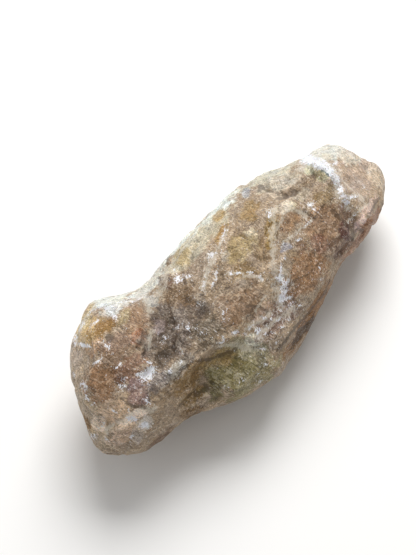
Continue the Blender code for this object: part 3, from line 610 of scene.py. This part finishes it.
def makeStone():
    # A grid of rings and turns between two poles, with its colours laid on its points.
    rings, segments = form["rings"], form["segments"]
    even = np.linspace(0, math.pi, rings + 1)[1:-1]
    ringAngles = even + 0.2 * np.sin(2 * even)  # evens out the spacing of the rings
    v = np.arange(segments) * math.tau / segments
    turnAngles = v + form["crowding"] * np.cos(v)
    ring, turn = (a.ravel() for a in np.meshgrid(ringAngles, turnAngles, indexing="ij"))
    ring = np.append(ring, [0, math.pi])  # the two poles come last
    turn = np.append(turn, [0, 0])
    points, broken = stonePoints(ring, turn)
    world = laidDown(points)
    print("stone surface worked out:", len(points), "points")

    # quads between rings, and a fan of triangles to each pole
    at = np.arange((rings - 1) * segments).reshape(rings - 1, segments)
    beside = np.roll(at, -1, axis=1)
    quads = np.stack([at[:-1], at[1:], beside[1:], beside[:-1]], axis=-1).reshape(-1, 4)
    first, last = at.size, at.size + 1
    lowFan = np.stack([np.full(segments, first), at[0], beside[0]], axis=-1)
    highFan = np.stack([np.full(segments, last), beside[-1], at[-1]], axis=-1)
    mesh = bpy.data.meshes.new("calciteStone")
    mesh.from_pydata(world, [], quads.tolist() + lowFan.tolist() + highFan.tolist())
    mesh.shade_smooth()

    # how far each point stands out of its surroundings, in millimetres
    grid = world[: at.size].reshape(rings - 1, segments, 3) * 1000
    normal = np.cross(np.gradient(grid, axis=0), np.roll(grid, -1, axis=1) - np.roll(grid, 1, axis=1))
    normal /= np.linalg.norm(normal, axis=2, keepdims=True) + 1e-9
    sign = np.sign((normal * (grid - grid.mean(axis=(0, 1)))).sum())
    relief = ((grid - blurred(grid, form["reliefRounds"])) * normal).sum(axis=2).ravel() * sign
    giveAttribute(mesh, "fineRelief", np.append(relief, [0, 0]))

    # places on the show face as it is seen: what stands n high is shifted outwards by n over the
    # view distance, and noise pushes all of it about
    place = points.copy()
    place[:, :2] += (points[:, :2] - colouring["viewCentre"]) * points[:, 2:] / colouring["viewDistance"]
    drift, fray = 0, 0
    for seed, (size, strength) in enumerate(colouring["drift"]):
        both = [noise(points, size, 2 * seed + 1 + k) for k in range(2)]
        drift = drift + strength * np.stack(both, axis=1)
    for seed, (size, strength) in enumerate(colouring["fray"]):
        fray = fray + strength * noise(points, size, seed + 15)
    loose = place.copy()
    loose[:, :2] += drift
    size, strength = colouring["strokeWobble"]
    wobble = strength * np.stack([noise(points, size, 7 + k) for k in range(2)], axis=1)
    near = place.copy()
    near[:, :2] += colouring["strokeDrift"] * drift + wobble

    # the show face's colours fade out with a ragged border behind the widest line
    behind = points[:, 2] + colouring["fadeDepth"] + colouring["fadeRaggedness"] * fray
    front = np.clip(behind / colouring["fadeDepth"], 0, 1)
    colour = np.tile(toLinear(colouring["ground"]), (len(points), 1))
    colour = paint(colour, loose, colouring["backPatches"], 1 - front, fray)
    colour = paint(colour, loose, colouring["patches"], front, fray)
    # the stain colours, with the painted light and shade that some patches hold
    giveAttribute(mesh, "stainAndPaintedLight", np.column_stack([colour, np.ones(len(colour))]))

    # bruises and the flecks round them, chalk, and the dark of pits, cracks and the painted shade along
    # ledges
    giveAttribute(mesh, "bruise", strokeField(near, colouring["bruises"]) * front)
    margin = colouring["fleckMargin"]
    wide = [
        (middle, margin + 2 * halfLength, margin + 2 * halfBreadth, degrees, 1)
        for middle, halfLength, halfBreadth, degrees, _ in colouring["bruises"]
    ]
    giveAttribute(mesh, "flecked", strokeField(loose, wide) * front)
    giveAttribute(mesh, "chalk", veinField(loose, colouring["veins"]) * front)
    pits = [(middle, radius, radius, 0, 1) for middle, radius in colouring["pits"]]
    dark = np.maximum(strokeField(near, pits), veinField(near, colouring["cracksAndLedgeShade"]))
    giveAttribute(mesh, "pitCrackAndLedgeShade", dark * front)
    giveAttribute(mesh, "broken", broken)
    print("stone colours laid out")

    piece = bpy.data.objects.new("calciteStone", mesh)
    bpy.context.scene.collection.objects.link(piece)
    piece.data.materials.append(makeCalcite())
    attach(piece, "root")
    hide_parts("calcite_stone")


def addNode(tree, kind, settings, **inputs):
    # One shader node with its settings. i0, i1 and so on are inputs by number, and the others go by
    # name. An input given a socket is linked, and anything else is its value.
    node = tree.nodes.new("ShaderNode" + kind)
    for name, value in settings.items():
        setattr(node, name, value)
    for name, value in inputs.items():
        key = int(name[1:]) if name[0] == "i" and name[1:].isdigit() else name.replace("_", " ")
        if isinstance(value, bpy.types.NodeSocket):
            tree.links.new(value, node.inputs[key])
        else:
            node.inputs[key].default_value = value
    return node


# Honeycomb calcite, broken and weathered: its IOR runs from 1.49 to 1.66 with direction, and it is
# waxy where it is bare and powdery white where it is struck. Sizes are in millimetres.
calcite = {
    "ior": 1.55,
    "gloss": 0.3,  # under a half, as the broken surface shades itself
    "bareRoughness": 0.46,
    "chalkRoughness": 0.85,
    "subsurface": 0.1,
    "subsurfaceReach": (6.0, 3.5, 2.0),
    "chalkColour": "#DAD2C2",
    "bruiseColour": "#F2F3F8",
    # dark of the dirt, and of the painted shade in low spots
    "dirtAndShadeColour": "#2C1E10",
    "warmTint": (1.05, 0.99, 0.88),
    "coolTint": (0.99, 1.0, 1.04),
    "grainTurn": (0.3, 0.5, 0.9),
    "grainStretch": (0.6, 1, 1.3),  # under one draws the hue, grain and plates out
    "mottleSize": 4.0,
    "hueSize": 10.0,
    "grainSize": 0.6,
    "grainHeight": 0.4,
    "stepSize": 1.3,  # of the big plates' fine parallel steps
    "rimWidth": 0.7,
    "plateBend": 4.0,  # how far the mottle bends the plates' borders
    # cleavage plates: their size, the slope of their tilt and their tone's depth
    "plates": [(10.0, 0.45, 0.08), (3.6, 0.6, 0.1)],
    # torn flakes: size, how drawn out, turns that point them along the face
    "flakes": {
        "longFlake": (0.85, 3.0, (0.0, 0.29, -1.36)),
        "shortFlake": (0.7, 2.4, (0.0, -0.25, 0.5)),
    },
    # how much each noise or attribute adds to a layer, on top of the mottle or of its own attribute
    "wornAndHighlit": {"fineRelief": 0.8, "rim": 0.3, "broken": 0.1, "longFlake": 1.8},
    "light": {"grain": 2.4, "steps": 0.8, "wornAndHighlit": 0.45, "longFlake": 1.8},
    "sunk": {"fineRelief": -1.2, "pitCrackAndLedgeShade": 1.2, "broken": 0.25, "shortFlake": -1.4},
    "chalk": {"mottle": 1.4, "shortFlake": 3.0},
    "flakeShare": 6.0,
    "fleckShare": 0.25,
    # where each layer sets in, where it is whole, and how far it then covers
    "hueRamp": {"From_Min": 0.3, "From_Max": 0.7},
    "shadeRamp": {"From_Min": 0.3, "From_Max": 0.6, "To_Min": 0.72},
    "wornAndHighlitRamp": {"From_Min": 1.72, "From_Max": 1.95},
    "dirtAndShadeRamp": {"From_Min": 0.24, "From_Max": 0.5, "To_Max": 0.8},
    "chalkRamp": {"From_Min": 2.6, "From_Max": 3.1, "To_Max": 0.75},
    "struckRamp": {"From_Min": 3.9, "From_Max": 4.22, "To_Max": 0.95},
    "mottleTone": 0.1,
    "baseTone": 0.75,
    "evenTone": 2.37,  # taken off again, so that the tone is about one on average
    # how far worn rims, partly painted highlight, turn to chalk, and how far dirt, partly painted shade,
    # and chalk hide the stain
    "wornAndHighlitDust": 0.2,
    "dirtAndShadeDepth": 0.65,
    "chalkDepth": 0.7,
}


def makeCalcite():
    # Noises and the stone's own attributes are summed into layers, and each layer covers the last.
    material = bpy.data.materials.new("roughBrokenCalcite")
    material.use_nodes = True
    tree = material.node_tree
    tree.nodes.clear()
    place = addNode(tree, "TexCoord", {}).outputs["Object"]
    stainAndPaintedLight = addNode(tree, "Attribute", {"attribute_name": "stainAndPaintedLight"}).outputs["Color"]
    # what the layers are summed from, by name: attributes first, noises as they are made
    field = {
        name: addNode(tree, "Attribute", {"attribute_name": name}).outputs["Fac"]
        for name in ("fineRelief", "bruise", "flecked", "chalk", "pitCrackAndLedgeShade", "broken")
    }
    multiplyAdd = {"operation": "MULTIPLY_ADD"}
    maximum = {"operation": "MAXIMUM"}
    times = {"operation": "MULTIPLY"}
    minus = {"operation": "SUBTRACT"}
    dot = {"operation": "DOT_PRODUCT"}
    smooth = {"interpolation_type": "SMOOTHSTEP"}
    blend = {"data_type": "RGBA"}
    multiply = {"data_type": "RGBA", "blend_type": "MULTIPLY"}
    chalkColour = (*toLinear(calcite["chalkColour"]), 1)
    bruiseColour = (*toLinear(calcite["bruiseColour"]), 1)
    dirtAndShadeColour = (*toLinear(calcite["dirtAndShadeColour"]), 1)

    # mottle, hue and grain
    drawn = addNode(
        tree, "Mapping", {},
        Vector=place, Rotation=calcite["grainTurn"], Scale=calcite["grainStretch"],
    ).outputs[0]
    mottle = addNode(
        tree, "TexNoise", {},
        Vector=place, Scale=1000 / calcite["mottleSize"], Detail=5.0, Roughness=0.62, Distortion=0.3,
    )
    hue = addNode(
        tree, "TexNoise", {},
        Vector=drawn, Scale=1000 / calcite["hueSize"], Detail=4.0, Roughness=0.6, Distortion=0.6,
    )
    grain = addNode(
        tree, "TexNoise", {},
        Vector=drawn, Scale=1000 / calcite["grainSize"], Detail=2.0, Roughness=0.6,
    )
    field["mottle"], field["grain"] = mottle.outputs[0], grain.outputs[0]

    # cleavage plates, with borders bent by the mottle: each has a tilt and a tone of its own
    bend = [calcite["plateBend"] / 1000] * 3
    loose = addNode(tree, "VectorMath", multiplyAdd, i0=mottle.outputs[1], i1=bend, i2=drawn)
    loose = loose.outputs[0]
    depth = calcite["grainHeight"] / 1000
    height = addNode(tree, "Math", times, i0=field["grain"], i1=depth).outputs[0]
    light = addNode(
        tree, "Math", multiplyAdd,
        i0=field["mottle"], i1=calcite["mottleTone"], i2=calcite["baseTone"],
    ).outputs[0]
    rim = 0.0
    leans = []
    for size, slope, tone in calcite["plates"]:
        plate = addNode(tree, "TexVoronoi", {}, Vector=loose, Scale=1000 / size)
        away = addNode(tree, "VectorMath", minus, i0=loose, i1=plate.outputs["Position"])
        lean = addNode(tree, "VectorMath", minus, i0=plate.outputs["Color"], i1=(0.5, 0.5, 0.5))
        rise = addNode(tree, "VectorMath", dot, i0=away.outputs[0], i1=lean.outputs[0])
        height = addNode(tree, "Math", multiplyAdd, i0=rise.outputs["Value"], i1=slope, i2=height)
        height = height.outputs[0]
        light = addNode(tree, "Math", multiplyAdd, i0=plate.outputs["Color"], i1=tone, i2=light)
        light = light.outputs[0]
        border = addNode(
            tree, "TexVoronoi", {"feature": "DISTANCE_TO_EDGE"}, Vector=loose, Scale=1000 / size
        )
        edge = addNode(
            tree, "MapRange", smooth,
            Value=border.outputs[0], From_Max=calcite["rimWidth"] / size, To_Min=1.0, To_Max=0.0,
        )
        rim = addNode(tree, "Math", maximum, i0=edge.outputs[0], i1=rim).outputs[0]
        leans.append(lean.outputs[0])
    field["rim"] = rim

    # the big plates' fine parallel steps: noise along the way that each of them leans
    across = addNode(tree, "VectorMath", {"operation": "NORMALIZE"}, i0=leans[0])
    across = addNode(tree, "VectorMath", dot, i0=loose, i1=across.outputs[0])
    field["steps"] = addNode(
        tree, "TexNoise", {"noise_dimensions": "1D"},
        W=across.outputs["Value"], Scale=1000 / calcite["stepSize"], Detail=2.0, Roughness=0.6,
    ).outputs[0]

    # torn flakes: ragged noises drawn out along the face. They fray the worn rims, the dirt and the
    # chalk, and their highest spots stand for loose white bits.
    for name, (size, stretch, turns) in calcite["flakes"].items():
        along = addNode(
            tree, "Mapping", {"vector_type": "TEXTURE"},
            Vector=place, Rotation=turns, Scale=(stretch, 1, 1),
        )
        field[name] = addNode(
            tree, "TexNoise", {},
            Vector=along.outputs[0], Scale=1000 / size, Detail=4.0, Roughness=0.72, Distortion=0.25,
        ).outputs[0]

    # the stain's own colour, with the painted light and shade of some patches, warmer or cooler by noise
    warmth = addNode(tree, "MapRange", smooth, Value=hue.outputs[0], **calcite["hueRamp"])
    tint = addNode(
        tree, "Mix", blend,
        i0=warmth.outputs[0], i6=(*calcite["coolTint"], 1), i7=(*calcite["warmTint"], 1),
    )
    bare = addNode(tree, "Mix", multiply, i0=1.0, i6=stainAndPaintedLight, i7=tint.outputs[2]).outputs[2]

    # crushed pale rims of the plates and of whatever stands out, a painted highlight in part on the
    # raised spots
    wornAndHighlit = field["mottle"]
    for name, share in calcite["wornAndHighlit"].items():
        wornAndHighlit = addNode(tree, "Math", multiplyAdd, i0=field[name], i1=share, i2=wornAndHighlit).outputs[0]
    wornAndHighlit = addNode(tree, "MapRange", smooth, Value=wornAndHighlit, **calcite["wornAndHighlitRamp"])
    field["wornAndHighlit"] = wornAndHighlit.outputs[0]

    # lighter and darker by plate, mottle, grain, steps, rim and flake, with dust on the worn rims; the
    # rims' lightness is partly painted highlight
    for name, share in calcite["light"].items():
        light = addNode(tree, "Math", multiplyAdd, i0=field[name], i1=share, i2=light).outputs[0]
    light = addNode(tree, "Math", minus, i0=light, i1=calcite["evenTone"])
    lit = addNode(tree, "Mix", multiply, i0=1.0, i6=bare, i7=light.outputs[0])
    dust = addNode(tree, "Math", times, i0=field["wornAndHighlit"], i1=calcite["wornAndHighlitDust"])
    surface = addNode(
        tree, "Mix", blend, i0=dust.outputs[0], i6=lit.outputs[2], i7=chalkColour
    ).outputs[2]

    # dirt and painted shade in what lies low where the stone is most broken, and in the pits
    sunk = field["mottle"]
    for name, share in calcite["sunk"].items():
        sunk = addNode(tree, "Math", multiplyAdd, i0=field[name], i1=share, i2=sunk).outputs[0]
    dirtAndShade = addNode(tree, "MapRange", smooth, Value=sunk, **calcite["dirtAndShadeRamp"])
    darker = addNode(tree, "Mix", blend, i0=calcite["dirtAndShadeDepth"], i6=bare, i7=dirtAndShadeColour)
    surface = addNode(
        tree, "Mix", blend, i0=dirtAndShade.outputs[0], i6=surface, i7=darker.outputs[2]
    ).outputs[2]

    # chalky veins, broken up by the flakes and the mottle
    chalk = field["chalk"]
    for name, share in calcite["chalk"].items():
        chalk = addNode(tree, "Math", multiplyAdd, i0=field[name], i1=share, i2=chalk).outputs[0]
    chalk = addNode(tree, "MapRange", smooth, Value=chalk, **calcite["chalkRamp"]).outputs[0]
    paler = addNode(tree, "Mix", blend, i0=calcite["chalkDepth"], i6=bare, i7=chalkColour)
    surface = addNode(tree, "Mix", blend, i0=chalk, i6=surface, i7=paler.outputs[2]).outputs[2]

    # struck marks: flakes wherever they stand high enough, and more of them in and near a mark
    ragged = addNode(
        tree, "Math", multiplyAdd,
        i0=field["flecked"], i1=calcite["fleckShare"], i2=field["bruise"],
    ).outputs[0]
    struck = 0.0
    for name in calcite["flakes"]:
        flake = addNode(tree, "Math", multiplyAdd, i0=field[name], i1=calcite["flakeShare"], i2=ragged)
        flake = addNode(tree, "MapRange", smooth, Value=flake.outputs[0], **calcite["struckRamp"])
        struck = addNode(tree, "Math", maximum, i0=struck, i1=flake.outputs[0]).outputs[0]
    shade = addNode(tree, "MapRange", {}, Value=field["shortFlake"], **calcite["shadeRamp"])
    bruise = addNode(tree, "Mix", multiply, i0=1.0, i6=bruiseColour, i7=shade.outputs[0])
    surface = addNode(tree, "Mix", blend, i0=struck, i6=surface, i7=bruise.outputs[2]).outputs[2]

    # waxy where bare, powdery where chalky or struck
    powder = addNode(tree, "Math", maximum, i0=struck, i1=chalk)
    rough = addNode(
        tree, "MapRange", {},
        Value=powder.outputs[0], To_Min=calcite["bareRoughness"], To_Max=calcite["chalkRoughness"],
    )
    bump = addNode(tree, "Bump", {}, Strength=1.0, Distance=1.0, Height=height)
    shader = addNode(
        tree, "BsdfPrincipled", {},
        Base_Color=surface, Roughness=rough.outputs[0], Normal=bump.outputs[0],
        IOR=calcite["ior"], Specular_IOR_Level=calcite["gloss"], Subsurface_Weight=calcite["subsurface"],
        Subsurface_Radius=[reach / 1000 for reach in calcite["subsurfaceReach"]], Subsurface_Scale=1.0,
    )
    addNode(tree, "OutputMaterial", {}, Surface=shader.outputs[0])
    print("calcite material made")
    return material


# Floor, camera and lights, in metres and degrees.
studio = {
    "floorSize": 8,
    "floorColour": "#F2F1EF",
    "aim": (-0.0062, 0.018, 0.0424),
    "azimuth": -47.1,
    "elevation": 60.0,
    "distance": 0.848,
    "lens": 100,
    "skyStrength": 0.42,
    "lightDistance": 1.3,
    # each light: name, how far it stands to the right, ahead and up, power, size
    "lights": [
        ("skyLight", (0.1, 1.0, 1.4), 20, 0.9),
        ("fillLight", (-0.8, -0.6, 0.9), 1, 1.2),
    ],
}


def makeFloor():
    # A plain sheet of matt white card under the stone.
    bpy.ops.mesh.primitive_plane_add(size=studio["floorSize"])
    floor = bpy.context.object
    floor.name = "paleFloor"
    material = bpy.data.materials.new("mattWhiteCard")
    material.use_nodes = True
    shader = material.node_tree.nodes["Principled BSDF"]
    shader.inputs["Base Color"].default_value = (*toLinear(studio["floorColour"]), 1)
    shader.inputs["Roughness"].default_value = 0.9
    floor.data.materials.append(material)


def placeTowards(thing, aim, back, distance):
    # Stands a camera or light at a distance from the aim, looking back at it.
    thing.location = aim + back * distance
    thing.rotation_mode = "QUATERNION"
    thing.rotation_quaternion = (-back).to_track_quat("-Z", "Y")
    bpy.context.scene.collection.objects.link(thing)


def makeStudio():
    # The camera from its azimuth and elevation, the lights from its own right and ahead.
    aim = Vector(studio["aim"])
    a, e = math.radians(studio["azimuth"]), math.radians(studio["elevation"])
    back = Vector((math.sin(a) * math.cos(e), -math.cos(a) * math.cos(e), math.sin(e)))
    camera = bpy.data.objects.new("camera", bpy.data.cameras.new("camera"))
    camera.data.lens = studio["lens"]
    placeTowards(camera, aim, back, studio["distance"])
    bpy.context.scene.camera = camera

    right = Vector((math.cos(a), math.sin(a), 0))
    ahead = Vector((-math.sin(a), math.cos(a), 0))
    for name, (across, along, up), power, size in studio["lights"]:
        light = bpy.data.lights.new(name, "AREA")
        light.energy, light.size = power, size
        way = (ahead * along + right * across + Vector((0, 0, up))).normalized()
        placeTowards(bpy.data.objects.new(name, light), aim, way, studio["lightDistance"])

    world = bpy.data.worlds.new("softRoom")
    world.use_nodes = True
    world.node_tree.nodes["Background"].inputs["Color"].default_value = (1, 1, 1, 1)
    world.node_tree.nodes["Background"].inputs["Strength"].default_value = studio["skyStrength"]
    bpy.context.scene.world = world
    bpy.context.scene.view_settings.view_transform = "Standard"


makeStone()
print("stone made")
makeFloor()
makeStudio()
print("studio made")
